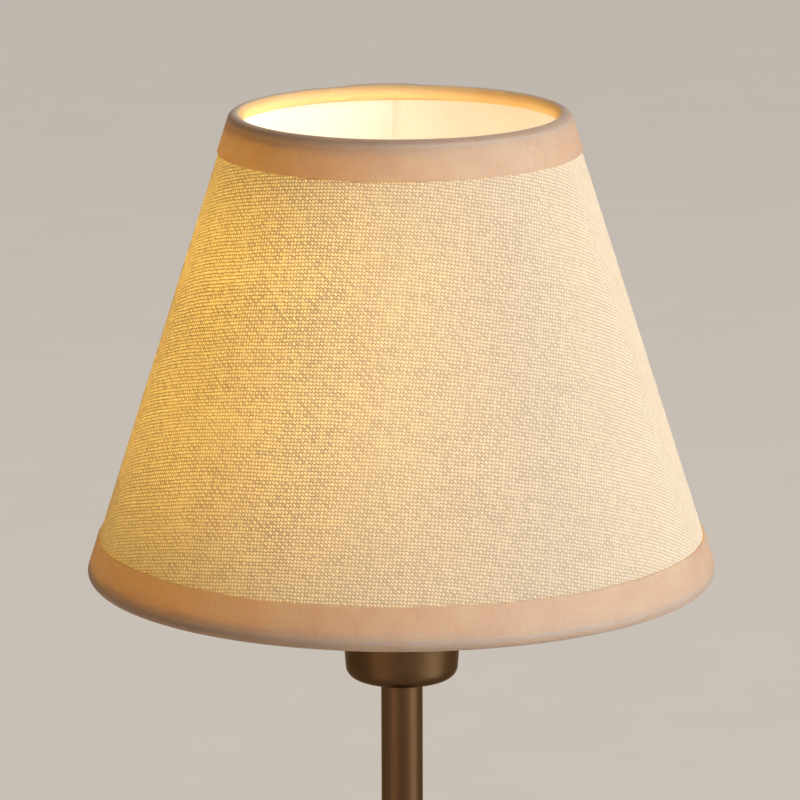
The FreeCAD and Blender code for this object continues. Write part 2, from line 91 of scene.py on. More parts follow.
# The bulb clip's arms, at +X and -X: where they leave the loops, and the room that the tape leaves for them
ARM_FOOT_RADIUS, ARM_FOOT_HEIGHT = 18.6, 288.74
ARM_ROOM, ARM_HALF_BEARING = 1.12, 0.085

# The linen's threads: their pitches, and how far each set leans on the flat sheet
WARP_PITCH, WEFT_PITCH = 0.85, 0.818
WARP_TURN, WEFT_TURN = math.radians(6.5), math.radians(4)

# How far threads drift from their places, slowly and by jitter, in threads, and the least width of each set
DRIFT, JITTER = 2.0, 0.38
WARP_THIN, WEFT_THIN = 0.78, 0.68

# How much the thread, the float, the fibres and a cloudy patch change the linen's tone
THREAD_TONE, FLOAT_TONE, FIBRE_TONE, PATCH_TONE = 0.26, 0.50, 0.22, 0.16

# The bulb cap's rolled thread and edges
CAP_RADIUS, THREAD_ROOT, THREAD_PITCH = 6.95, 6.45, 2.82
THREAD_END, SKIRT_START = 11.0, 9.0
CAP_FOOT_RADIUS, CAP_MOUTH_RADIUS = 6.52, 6.53
CAP_ROWS, CAP_COLUMNS = 150, 96

# The filaments' beads along each rod, and how strongly they shine
BEAD_PITCH, FILAMENT_GLOW = 1.25, 9.0

# Colours, dark then light, between which each finish wanders
BRONZE = (0.060, 0.029, 0.012), (0.138, 0.078, 0.039)
BRONZE_GRIMY, BRONZE_WORN = (0.028, 0.017, 0.010), (0.30, 0.18, 0.095)
FELT = (0.030, 0.028, 0.025), (0.11, 0.10, 0.09)
PHOSPHOR = (0.85, 0.55, 0.14), (0.95, 0.72, 0.28)
PHOSPHOR_GLOW = (1.0, 0.50, 0.16), (1.0, 0.72, 0.36)
LINEN_FACE = (0.715, 0.595, 0.43), (0.79, 0.745, 0.655)
LINEN_THROUGH = (0.08, 0.025, 0.0), (1.0, 0.755, 0.165)
FILM_FACE = (0.86, 0.83, 0.78), (0.90, 0.875, 0.83)
FILM_THROUGH = (0.93, 0.88, 0.77), (0.97, 0.92, 0.82)
TAPE_FACE = (0.51, 0.52, 0.49), (0.60, 0.625, 0.605)
# The tape's roll colour is painted shade: darker where the hoop keeps the bulb's glow from it
TAPE_ROLL_PAINTED_SHADE = (0.36, 0.252, 0.178), (0.43, 0.315, 0.235)
# The tape's inner leg colour is painted glow: pale yellow, as if lit by the bulb inside the shade
TAPE_LEG_PAINTED_GLOW = (0.94, 0.80, 0.46), (0.99, 0.88, 0.56)
TAPE_THROUGH = (0.98, 0.625, 0.19), (1.0, 0.745, 0.26)
FLOOR = (0.65, 0.595, 0.53), (0.66, 0.605, 0.54)
BACKDROP, DIM_ROOM = (0.66, 0.60, 0.53, 1), (0.90, 0.80, 0.62, 1)

# Shares of the light that the shade's layers let through
LINEN_PASSES, LAP_PASSES_MORE = 0.31, 0.24
FILM_PASSES = 0.178
TAPE_PASSES, ROLL_PASSES = 0.58, 0.10

# The stage, with lengths in metres from here on: how much of the floor's plain colour the camera sees,
# and how strong the room's dim light is
FLOOR_SHOWN, ROOM_STRENGTH = 0.76, 0.125
FLOOR_RADIUS, FLOOR_SIDES = 30, 64

# The photograph's view
CAMERA_DISTANCE, CAMERA_ELEVATION, CAMERA_ROLL = 1.35, math.radians(12.46), math.radians(-0.18)
CAMERA_AIM = Vector((0, 0, 0.279))
LENS, SENSOR, SHIFT_X = 255.2, 36.0, -1.0 / 800

# Soft lights: bearing from the camera's side, elevation, distance, width, height, watts, colour, spread
LIGHTS_AIM = Vector((0, 0, 0.22))
NARROW = math.radians(70)
SOFT_BOXES = {
    "key": (57, 20, 1.5, 1.2, 0.9, 30.5, (0.98, 0.97, 0.99), math.pi),
    "fill": (-50, 4, 1.5, 0.25, 1.0, 1.2, (1.0, 0.62, 0.38), math.pi),
    "low_strip_right": (68, -20, 0.45, 0.32, 0.12, 0.046, (0.80, 0.94, 1.0), NARROW),
    "low_strip_left": (-44, -20, 0.45, 0.40, 0.12, 0.027, (1.0, 0.78, 0.56), NARROW),
    "back": (180, 40, 1.6, 1.2, 0.8, 5.0, (1.0, 0.90, 0.80), math.pi),
}

# The bulb's light: heights with shares, place beside the axis, watts and colours of the lamps
# that shine all round and of those that shine to the front left, and the bearing behind these
GLOW_HEIGHTS = ((0.260, 0.58), (0.308, 0.42))
GLOW_X, GLOW_Y = -0.004, -0.003
GLOW_WATTS, GLOW_COLOUR, GLOW_RADIUS = 0.052, (1.0, 0.80, 0.55), 0.007
SIDE_WATTS, SIDE_COLOUR, SIDE_WIDTH = 0.079, (1.0, 0.80, 0.53), 0.012
SIDE_BEARING = 0.96


def smooth_step(x):
    x = np.clip(x, 0, 1)
    return x * x * (3 - 2 * x)


def spun(radius, height, bearing):
    """Points in metres from radii, heights and bearings in arrays of one shape."""
    return np.stack([radius * np.sin(bearing), -radius * np.cos(bearing), height + 0 * bearing], -1) * MM


def on_slant(centre, along, out, up):
    """Radius and height of a point out from the line of the rolls and along it."""
    out, up = np.asarray(out, float), np.asarray(up, float)
    return centre[0] + OUT[0] * out + along[0] * up, centre[1] + OUT[1] * out + along[1] * up


def wander(x, y, z, depth, scale):
    """Smooth noise at points given in mm, of the depth at most and changing over the scale."""
    flat = np.stack(np.broadcast_arrays(x, y, z), -1).reshape(-1, 3) / scale
    return np.array([noise.noise(Vector(p)) for p in flat]).reshape(np.broadcast(x, y, z).shape) * depth


def link(name, data):
    """A new object in the scene that shows the data."""
    new = bpy.data.objects.new(name, data)
    scene.collection.objects.link(new)
    return new


def turn(thing, quaternion):
    thing.rotation_mode = "QUATERNION"
    thing.rotation_quaternion = quaternion


def wrapped_uv(uv, corner):
    """The uv of each face corner, carried on past the last column for the faces that close the ring."""
    columns = uv.shape[1]
    span = uv[0, -1, 0] - uv[0, 0, 0]
    per_face = uv.reshape(-1, 2)[corner].reshape(-1, 4, 2)
    wrapped = per_face[:, :, 0].max(1) - per_face[:, :, 0].min(1) > span / 2
    low = per_face[:, :, 0] < per_face[:, :, 0].mean(1, keepdims=True)
    per_face[:, :, 0] += np.where(wrapped[:, None] & low, span * columns / (columns - 1), 0)
    return per_face.reshape(-1, 2)


def grid(name, points, uv=None, around=False, keep=None):
    """A quad mesh over an array of points (rows, columns, 3), closed along the columns if around.

    keep says, from the middles of the faces, which faces stay."""
    rows, columns = points.shape[:2]
    ids = np.arange(rows * columns).reshape(rows, columns)
    right = np.roll(ids, -1, 1) if around else ids[:, 1:]
    left = ids if around else ids[:, :-1]
    quads = np.stack([left[:-1], right[:-1], right[1:], left[1:]], -1).reshape(-1, 4)
    if keep is not None:
        quads = quads[keep(points.reshape(-1, 3)[quads].mean(1))]
    mesh = bpy.data.meshes.new(name)
    mesh.from_pydata(points.reshape(-1, 3).tolist(), [], quads.tolist())
    if uv is not None:
        layer = mesh.uv_layers.new(name="cloth")
        corner = np.zeros(len(mesh.loops), np.int32)
        mesh.loops.foreach_get("vertex_index", corner)
        flat = wrapped_uv(uv, corner) if around else uv.reshape(-1, 2)[corner]
        layer.data.foreach_set("uv", flat.astype(np.float32).ravel())
    mesh.polygons.foreach_set("use_smooth", np.ones(len(mesh.polygons), bool))
    return link(name, mesh)


class Paint:
    """A node material, or the node tree of a world, built from short calls."""

    def __init__(self, name, tree=None):
        if tree is None:
            self.material = bpy.data.materials.new(name)
            self.material.use_nodes = True
            tree = self.material.node_tree
        self.tree = tree
        self.tree.nodes.clear()

    def add(self, kind, inputs=None, **settings):
        node = self.tree.nodes.new("ShaderNode" + kind)
        for key, value in settings.items():
            setattr(node, key, value)
        for key, value in (inputs or {}).items():
            if isinstance(value, bpy.types.NodeSocket):
                self.tree.links.new(value, node.inputs[key])
            else:
                node.inputs[key].default_value = value
        return node

    def math(self, operation, *values):
        return self.add("Math", dict(enumerate(values)), operation=operation).outputs[0]

    def times(self, a, b):
        return self.math("MULTIPLY", a, b)

    def plus(self, a, b):
        return self.math("ADD", a, b)

    def rest_of(self, share):
        return self.math("SUBTRACT", 1.0, share)

    def swing(self, value, span):
        """A value from 0 to 1, made to swing about 0 over the span."""
        return self.times(self.plus(value, -0.5), span)

    def length(self, a, b):
        return self.math("SQRT", self.plus(self.times(a, a), self.times(b, b)))

    def remap(self, value, low, high, to_low=0.0, to_high=1.0, kind="SMOOTHSTEP"):
        return self.add(
            "MapRange", {0: value, 1: low, 2: high, 3: to_low, 4: to_high}, interpolation_type=kind
        ).outputs[0]

    def vector(self, x=0.0, y=0.0, z=0.0):
        return self.add("CombineXYZ", {0: x, 1: y, 2: z}).outputs[0]

    def parts(self, vector):
        return self.add("SeparateXYZ", {0: vector}).outputs

    def noise(self, vector, scale=1.0, detail=2.0, rough=0.5, output=0):
        return self.add(
            "TexNoise", {"Vector": vector, "Scale": scale, "Detail": detail, "Roughness": rough}
        ).outputs[output]

    def mix(self, share, a, b):
        a, b = [v if isinstance(v, bpy.types.NodeSocket) else (*v, 1) for v in (a, b)]
        return self.add("Mix", {0: share, 6: a, 7: b}, data_type="RGBA").outputs[2]

    def place(self):
        return self.add("TexCoord").outputs["Object"]

    def stretched_place(self, scale):
        return self.add("Mapping", {"Vector": self.place(), "Scale": scale}).outputs[0]

    def cloth_place(self):
        return self.parts(self.add("UVMap", uv_map="cloth").outputs[0])[:2]

    def polar(self):
        """Radius, bearing and height of the shaded point about the lamp's axis, in mm and radians."""
        x, y, z = self.parts(self.place())[:3]
        return self.times(self.length(x, y), 1000.0), self.math("ARCTAN2", y, x), self.times(z, 1000.0)

    def bump(self, height, distance, strength=1.0):
        return self.add("Bump", {"Height": height, "Distance": distance, "Strength": strength}).outputs[0]

    def principled(self, **inputs):
        named = {k.replace("_", " "): v for k, v in inputs.items()}
        for key, value in named.items():
            if isinstance(value, tuple) and len(value) == 3 and "Color" in key:
                named[key] = (*value, 1)
        return self.add("BsdfPrincipled", named).outputs[0]

    def diffuse(self, colour, **more):
        return self.add("BsdfDiffuse", {"Color": colour, **more}).outputs[0]

    def translucent(self, colour):
        return self.add("BsdfTranslucent", {"Color": colour}).outputs[0]

    def blend(self, share, first, second):
        return self.add("MixShader", {0: share, 1: first, 2: second}).outputs[0]

    def done(self, shader):
        self.add("OutputMaterial", {"Surface": shader})
        return self.material


def near_rings(p, radius, height, rings):
    """1 on the rings about the axis and 0 away from them."""
    found = None
    for ring_radius, ring_height, width in rings:
        away = p.length(p.plus(radius, -ring_radius), p.plus(height, -ring_height))
        near = p.remap(away, 0.2 * width, width, 1.0, 0.0)
        found = near if found is None else p.math("MAXIMUM", found, near)
    return found


def bronze(name, drawn=False, brushed=0.45, worn=(), grimy=()):
    """Dark antique bronze, brushed along its length if drawn, or else round the axis.

    worn and grimy hold rings about the axis: the radius, height and width of each."""
    p = Paint(name)
    radius, bearing, height = p.polar()
    if drawn:
        line_place = p.vector(p.times(bearing, 26.0), p.times(height, 0.045), radius)
    else:
        line_place = p.vector(p.times(radius, 2.2), p.times(height, 2.2), p.times(bearing, 0.9))
    lines = p.noise(line_place, 1.0, 5.0, 0.62)
    patina = p.noise(p.stretched_place((1.0, 1.0, 0.2 if drawn else 1.0)), 55.0, 3.0, 0.45)
    tone = p.remap(p.plus(p.times(lines, brushed), p.times(patina, 1.1 - brushed)), 0.26, 0.86)
    colour = p.mix(tone, *BRONZE)
    speckle = p.noise(p.place(), 150.0, 4.0, 0.6)
    if grimy:
        share = p.times(near_rings(p, radius, height, grimy), p.remap(speckle, 0.25, 0.6, 0.55, 0.95))
        colour = p.mix(share, colour, BRONZE_GRIMY)
    if worn:
        share = p.times(near_rings(p, radius, height, worn), p.remap(speckle, 0.3, 0.7, 0.25, 0.75))
        colour = p.mix(share, colour, BRONZE_WORN)
    grain = p.plus(p.times(lines, brushed), p.times(patina, 1 - brushed))
    return p.done(p.principled(
        Base_Color=colour, Metallic=1.0, Roughness=p.remap(grain, 0.3, 0.7, 0.32, 0.40, "LINEAR"),
        Specular_Tint=(0.7, 0.6, 0.5, 1), Normal=p.bump(lines, 0.00003, 0.7 * brushed)
    ))


def speckled(name, dark, light, scale=300.0, rough=(0.5, 0.7), relief=0.00005, metallic=0.0,
             stretch=(1.0, 1.0, 1.0)):
    """A finish that wanders between two colours, with a matching roughness and relief."""
    p = Paint(name)
    grain = p.noise(p.stretched_place(stretch), scale, 4.0, 0.6)
    return p.done(p.principled(
        Base_Color=p.mix(p.remap(grain, 0.3, 0.7), dark, light), Metallic=metallic,
        Roughness=p.remap(grain, 0.3, 0.7, *rough, "LINEAR"), Normal=p.bump(grain, relief)
    ))


def felt(name):
    """Dense felt: fine fibres over soft clumps."""
    p = Paint(name)
    fibres = p.noise(p.place(), 900.0, 6.0, 0.75)
    clumps = p.noise(p.place(), 120.0, 3.0, 0.6)
    share = p.remap(p.plus(p.times(fibres, 0.7), p.times(clumps, 0.4)), 0.35, 0.75)
    return p.done(p.principled(
        Base_Color=p.mix(share, *FELT), Roughness=0.95, Sheen_Weight=0.4, Normal=p.bump(fibres, 0.0003)
    ))


def glass(name, tint, rough, haze_scale):
    """Clear glass, a little smeared."""
    p = Paint(name)
    smear = p.noise(p.place(), haze_scale, 3.0, 0.6)
    return p.done(p.principled(
        Base_Color=p.mix(p.remap(smear, 0.3, 0.7), tint, (1.0, 1.0, 1.0)),
        Roughness=p.remap(smear, 0.35, 0.75, rough, rough + 0.05, "LINEAR"),
        IOR=1.5, Transmission_Weight=1.0, Normal=p.bump(smear, 0.00002, 0.3)
    ))


def filament(name):
    """Phosphor-coated rods: chips show as slightly hotter beads along each rod."""
    p = Paint(name)
    height = p.times(p.parts(p.place())[2], 1000.0)
    beads = p.remap(p.math("SINE", p.times(height, TURN / BEAD_PITCH)), -1.0, 1.0, 0.75, 1.0)
    return p.done(p.principled(
        Base_Color=p.mix(beads, *PHOSPHOR), Roughness=0.6,
        Emission_Color=p.mix(beads, *PHOSPHOR_GLOW), Emission_Strength=FILAMENT_GLOW
    ))


def glued_lap(p):
    """1 where the sheet lies double at the back: its two layers, pressed and glued, pass more light each."""
    x, y = p.parts(p.place())[:2]
    past = p.times(p.plus(p.times(x, -1.0), p.times(p.length(x, y), math.sin(SEAM))), 1000.0)
    inside = p.times(p.remap(past, -0.6, 0.2), p.remap(past, LAP, LAP + 0.8, 1.0, 0.0))
    return p.times(inside, p.math("GREATER_THAN", y, 0.0))


def linen_thread(p, index, off, along, beside, phase, seed, thin):
    """Height and tone of one set of threads: index counts them, off is the place across one,
    along the place along it, beside the place across the other set, phase 1 or -1 for over or under first."""
    own = p.noise(p.vector(p.times(index, 3.7), p.times(along, 0.055), seed), 1.0, 2.0, 0.6)
    lump = p.noise(p.vector(p.times(index, 5.3), p.times(along, 0.028), seed + 4.0), 1.0, 1.0)
    slub = p.remap(lump, 0.66, 0.78)
    width = p.plus(p.remap(own, 0.25, 0.75, thin, thin + 0.24, "LINEAR"), p.times(slub, 0.2))
    leaning = p.plus(p.plus(off, -0.5), p.swing(beside, 0.55))
    side = p.math("DIVIDE", leaning, p.times(width, 0.5))
    body = p.math("MAXIMUM", p.rest_of(p.times(side, side)), 0.0)
    wave = p.math("COSINE", p.times(p.plus(p.plus(along, -0.5), index), math.pi))
    over = p.plus(0.5, p.times(wave, phase * 0.5))
    rise = p.times(body, p.plus(0.30, p.times(over, 0.70)))
    tone = p.plus(p.remap(own, 0.25, 0.75, -0.5, 0.5, "LINEAR"), p.times(slub, -0.55))
    return rise, p.plus(tone, phase * 0.7)


def linen(name):
    """Plain-woven natural linen: every thread has its own width, tone and slubs, every float its own tone;
    the threads' crowns carry painted light and the gaps between rows painted shade.
    """
    p = Paint(name)
    across, up = p.cloth_place()
    u = p.plus(p.times(across, math.cos(WARP_TURN) / WARP_PITCH),
               p.times(up, -math.sin(WARP_TURN) / WARP_PITCH))
    v = p.plus(p.times(across, math.sin(WEFT_TURN) / WEFT_PITCH),
               p.times(up, math.cos(WEFT_TURN) / WEFT_PITCH))
    drift = p.parts(p.noise(p.vector(u, v), 0.03, 1.0, 0.5, output=1))
    jitter = p.parts(p.noise(p.vector(u, v, 9.0), 0.42, 1.0, 0.5, output=1))
    u = p.plus(u, p.plus(p.swing(drift[0], DRIFT), p.swing(jitter[0], JITTER)))
    v = p.plus(v, p.plus(p.swing(drift[1], DRIFT), p.swing(jitter[1], JITTER)))
    column, row = p.math("FLOOR", u), p.math("FLOOR", v)
    in_column, in_row = p.math("FRACT", u), p.math("FRACT", v)
    warp, warp_tone = linen_thread(p, column, in_column, v, in_row, 1.0, 0.0, WARP_THIN)
    weft, weft_tone = linen_thread(p, row, in_row, u, in_column, -1.0, 31.0, WEFT_THIN)
    height = p.math("MAXIMUM", warp, weft)
    warp_up = p.math("GREATER_THAN", warp, weft)
    tone = p.plus(p.times(warp_tone, warp_up), p.times(weft_tone, p.rest_of(warp_up)))

    own_float = p.add("TexWhiteNoise", {"Vector": p.vector(column, row)}, noise_dimensions="2D")
    fibre = p.noise(p.vector(across, up), 5.2, 3.0, 0.7)
    patch = p.noise(p.vector(across, up, 3.0), 0.09, 3.0, 0.6)
    tone = p.plus(p.times(tone, THREAD_TONE), p.swing(own_float.outputs["Value"], FLOAT_TONE))
    tone = p.plus(tone, p.plus(p.swing(fibre, FIBRE_TONE), p.swing(patch, PATCH_TONE)))
    # Painted light and shade: higher parts of the threads are painted lighter and the gaps between rows
    # darker, on the face and in the light through it
    lit = p.remap(height, 0.20, 0.76, kind="LINEAR")
    painted_row_shade = p.remap(p.math("ABSOLUTE", p.plus(in_row, -0.5)), 0.27, 0.5, 0.06, -0.78)
    share = p.plus(p.plus(lit, tone), painted_row_shade)
    share = p.math("MINIMUM", p.math("MAXIMUM", share, 0.0), 1.3)
    front = p.diffuse(p.mix(share, *LINEN_FACE), Roughness=0.6, Normal=p.bump(height, 0.00012, 0.5))
    back = p.translucent(p.mix(share, *LINEN_THROUGH))
    passing = p.plus(LINEN_PASSES, p.times(glued_lap(p), LAP_PASSES_MORE))
    return p.done(p.blend(passing, front, back))


def film(name):
    """The white film inside the shade, slightly cloudy."""
    p = Paint(name)
    share = p.remap(p.noise(p.place(), 55.0, 4.0, 0.6), 0.3, 0.7)
    front = p.diffuse(p.mix(share, *FILM_FACE))
    back = p.translucent(p.mix(share, *FILM_THROUGH))
    return p.done(p.blend(FILM_PASSES, front, back))


def tape(name):
    """Smooth cotton tape: fine lengthwise and crosswise streaks, a soft sheen, and light through it.

    The roll, doubled round the hoop, passes little of it and is painted darker as painted shade; the inner
    leg is painted pale yellow as painted glow from within the shade."""
    p = Paint(name)
    along, across = p.cloth_place()
    weft = p.noise(p.vector(p.times(along, 2.6), p.times(across, 0.22)), 1.0, 3.0, 0.6)
    warp = p.noise(p.vector(p.times(along, 0.16), p.times(across, 2.8), 5.0), 1.0, 3.0, 0.6)
    cloud = p.noise(p.vector(along, across, 2.0), 0.11, 3.0, 0.55)
    weave = p.plus(weft, warp)
    share = p.remap(p.plus(p.times(weave, 0.3), p.times(cloud, 0.4)), 0.32, 0.68)
    leg = p.math("MAXIMUM", p.remap(across, *BOTTOM_LEG_FROM), p.remap(p.times(across, -1.0), *TOP_LEG_FROM))
    rolled = p.math("MINIMUM", p.remap(p.math("ABSOLUTE", across), *ROLL_FROM), p.rest_of(leg))
    # Painted shade: the roll takes a darker colour where the hoop keeps the bulb's glow from it
    surface = p.mix(rolled, p.mix(share, *TAPE_FACE), p.mix(share, *TAPE_ROLL_PAINTED_SHADE))
    # Painted glow: the inner leg takes a pale yellow colour, as if lit from within the shade
    surface = p.mix(leg, surface, p.mix(share, *TAPE_LEG_PAINTED_GLOW))
    front = p.principled(
        Base_Color=surface, Roughness=0.72, Sheen_Weight=0.25, Sheen_Roughness=0.45,
        Normal=p.bump(weave, 0.00006)
    )
    back = p.translucent(p.mix(share, *TAPE_THROUGH))
    passing = p.plus(TAPE_PASSES, p.times(rolled, ROLL_PASSES - TAPE_PASSES))
    return p.done(p.blend(passing, front, back))


def dress(material, *names):
    for name in names:
        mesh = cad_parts[name].data
        mesh.materials.clear()
        mesh.materials.append(material)


def dress_stand():
    dress(bronze("bronze_spun_base",
                 worn=((57.0, 14.4, 2.6), (50.6, 18.1, 1.8), (13.2, 26.8, 1.2)),
                 grimy=((51.0, 15.2, 2.4), (57.5, 1.5, 1.6), (11.8, 27.2, 2.0))),
          "base_cover")
    dress(bronze("bronze_collar",
                 worn=((9.2, 33.1, 1.7), (11.3, 29.3, 0.9), (6.5, 38.4, 0.8)),
                 grimy=((7.7, 29.5, 1.2), (6.8, 34.7, 1.0), (5.3, 38.5, 0.7))),
          "base_collar")
    dress(bronze("bronze_stem", drawn=True, brushed=0.3, grimy=((5.0, 38.6, 1.6), (5.0, 210.8, 2.0))),
          "stem_tube")
    dress(bronze("bronze_cup", brushed=0.12, worn=((15.3, 239.0, 0.9),), grimy=((5.2, 211.0, 2.2),)),
          "lamp_cup")
    dress(speckled("cast_iron_rough", (0.035, 0.035, 0.037), (0.10, 0.10, 0.105),
                   260.0, (0.6, 0.9), 0.0003, metallic=0.4),
          "base_weight")
    dress(felt("felt_dense"), "base_pad")
    dress(speckled("bush_moulded", (0.030, 0.020, 0.014), (0.060, 0.043, 0.031),
                   500.0, (0.35, 0.55), 0.00004),
          "cable_bush")
    dress(speckled("zinc_plate", (0.48, 0.49, 0.50), (0.70, 0.71, 0.72),
                   180.0, (0.25, 0.42), 0.00002, metallic=1.0, stretch=(1.0, 1.0, 6.0)),
          "base_washer", "base_nut", "base_nipple", "top_nipple", "cup_washer", "cup_nut", "terminal_screws")
    dress(speckled("phenolic_moulded", (0.018, 0.016, 0.015), (0.045, 0.041, 0.038),
                   700.0, (0.32, 0.5), 0.00003),
          "holder_base", "holder_body")
    dress(speckled("porcelain_white", (0.76, 0.74, 0.69), (0.88, 0.87, 0.83),
                   240.0, (0.45, 0.65), 0.00003),
          "holder_insulator")
    dress(speckled("brass_rolled", (0.55, 0.38, 0.16), (0.82, 0.63, 0.32),
                   220.0, (0.22, 0.4), 0.00002, metallic=1.0, stretch=(1.0, 1.0, 9.0)),
          "holder_thread_shell", "holder_centre_contact")
    dress(speckled("ivory_card", (0.80, 0.73, 0.58), (0.90, 0.85, 0.72),
                   60.0, (0.38, 0.55), 0.00004, stretch=(1.0, 1.0, 0.25)),
          "candle_sleeve")


def dress_bulb():
    dress(speckled("insulator_black", (0.012, 0.012, 0.014), (0.035, 0.035, 0.04),
                   300.0, (0.12, 0.3), 0.00003),
          "bulb_insulator")
    dress(speckled("solder_dull", (0.42, 0.42, 0.41), (0.68, 0.68, 0.66),
                   500.0, (0.35, 0.6), 0.00012, metallic=1.0),
          "bulb_tip_contact")
    dress(glass("bulb_clear_glass", (0.97, 0.985, 0.98), 0.0, 30.0), "bulb_glass")
    dress(glass("mount_thick_glass", (0.90, 0.95, 0.93), 0.02, 90.0), "bulb_mount")
    dress(filament("filament_phosphor"), "bulb_filaments")
    dress(speckled("lead_bare_wire", (0.35, 0.33, 0.31), (0.62, 0.60, 0.57),
                   800.0, (0.25, 0.45), 0.00002, metallic=1.0),
          "bulb_leads")
    for name in ("bulb_glass", "bulb_mount", "bulb_filaments"):
        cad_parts[name].visible_shadow = False
    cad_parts["bulb_filaments"].visible_diffuse = False


def dress_shade_wires():
    dress(speckled("hoop_coated", (0.74, 0.72, 0.67), (0.88, 0.87, 0.83),
                   300.0, (0.35, 0.55), 0.00004),
          "top_ring", "bottom_ring")
    dress(speckled("clip_nickel", (0.36, 0.34, 0.29), (0.62, 0.59, 0.52),
                   420.0, (0.25, 0.42), 0.00003, metallic=1.0),
          "clip_arms", "clip_loops")


def lap_rise(bearing, radius):
    """How far the glued lap lifts the tape over it."""
    past = np.mod(bearing - SEAM + math.pi, TURN) - math.pi
    past = past * radius
    rise = smooth_step((past + LAP_RAMP) / TAPE_RAMP + 1)
    return LAP_RISE * rise * (1 - smooth_step((past - LAP) / TAPE_RAMP))


def cone_sheet(name, out, end_gap, inner):
    """A conical sheet cut from the flat, from the seam once round and on over its own start.

    The inner sheet starts at a step out to the outer one, which ends in a free edge."""
    ups = np.linspace(end_gap, SLANT - end_gap, SHEET_ROWS)
    radius, height = on_slant(LOW, UP, out, ups)
    flat_radius = radius / CONE
    past = [-LAP_RAMP * s for s in (1, 0.8, 0.6, 0.4, 0.2, 0)] + [LAP * s for s in (0.2, 0.5, 0.8, 1.0)]
    bearings, rises = [], []
    start = SEAM - TURN
    if inner:
        bearings.append(np.full_like(ups, start))
        rises.append(np.full_like(ups, LINEN_OUT - out))
    for share in np.linspace(0, 1, SHEET_COLUMNS + 1)[:-1]:
        bearings.append(start + share * (TURN - LAP_RAMP / radius))
        rises.append(np.zeros_like(ups))
    for distance in past:
        bearings.append(SEAM + distance / radius)
        rises.append(np.full_like(ups, LAP_RISE * float(smooth_step(distance / LAP_RAMP + 1))))
    if not inner:
        for distance, drop in ((0.25, 0.1), (0.4, 0.4), (0.4, LAP_RISE)):
            bearings.append(SEAM + (LAP + distance) / radius)
            rises.append(np.full_like(ups, LAP_RISE - drop))
    bearing, rise = np.stack(bearings, 1), np.stack(rises, 1)
    points = spun(radius[:, None] + OUT[0] * rise, height[:, None] + OUT[1] * rise, bearing)
    turned = bearing * CONE
    flat = np.stack([flat_radius[:, None] * np.sin(turned), -flat_radius[:, None] * np.cos(turned)], -1)
    return grid(name, points, flat)


def arc(centre, radius, start, end, count):
    """Points (out, up) on an arc, by angles from the outward direction."""
    return [(centre + radius * math.cos(a), radius * math.sin(a)) for a in np.linspace(start, end, count)]


def tape_line(face):
    """The tape's section as points (out, up) from the roll's centre: lip, face, roll, inner leg and lip.

    Returns them with the number of those on the face and roll, and the height where the leg lands."""
    wire = HOOP_WIRE / 2 + WIRE_GAP + TAPE
    leave_out, leave_up = HOOP_OUT - wire * math.cos(LEG_ANGLE), wire * math.sin(LEG_ANGLE)
    land = leave_up + (LINING_IN - leave_out) / math.tan(LEG_ANGLE)
    line = [(LINEN_OUT + 0.02, face - 0.02), (LINEN_OUT + 0.2, face)]
    line += [(ROLL - 0.1, face), (ROLL - 0.02, face - 0.05)]
    line += [(ROLL, face - x) for x in (0.15, 0.5, 1.2)]
    line += [(ROLL, face * s) for s in (0.75, 0.5, 0.3, 0.15)]
    line += arc(0.0, ROLL, 0.0, -math.pi, 25)
    face_count = len(line)
    line += arc(HOOP_OUT, wire, math.pi, math.pi - LEG_ANGLE, 7)[1:]
    line += [(leave_out + (LINING_IN - leave_out) * s, leave_up + (land - leave_up) * s)
             for s in (0.12, 0.25, 0.38, 0.5, 0.62, 0.75, 0.88, 0.96)]
    line += [(LINING_IN - 0.02, land)]
    return np.array(line), face_count, land


def clear_of_arms(places):
    """Which places, in metres, are clear of the bulb clip's arms under the top tape."""
    foot = np.array([ARM_FOOT_RADIUS, 0.0, ARM_FOOT_HEIGHT]) * MM
    head = np.array([*on_slant(HIGH, -UP, HOOP_OUT, 0.0)]) * MM
    head = np.array([head[0], 0.0, head[1]])
    free = np.ones(len(places), bool)
    for side in (1, -1):
        a, b = foot * [side, 1, 1], head * [side, 1, 1]
        d = (b - a) / np.linalg.norm(b - a)
        reach = (places - a) @ d
        off = np.linalg.norm(places - a - reach[:, None] * d, axis=1)
        free &= (off > ARM_ROOM * MM) | (reach > np.linalg.norm(b - a) - 0.3 * MM)
    return free


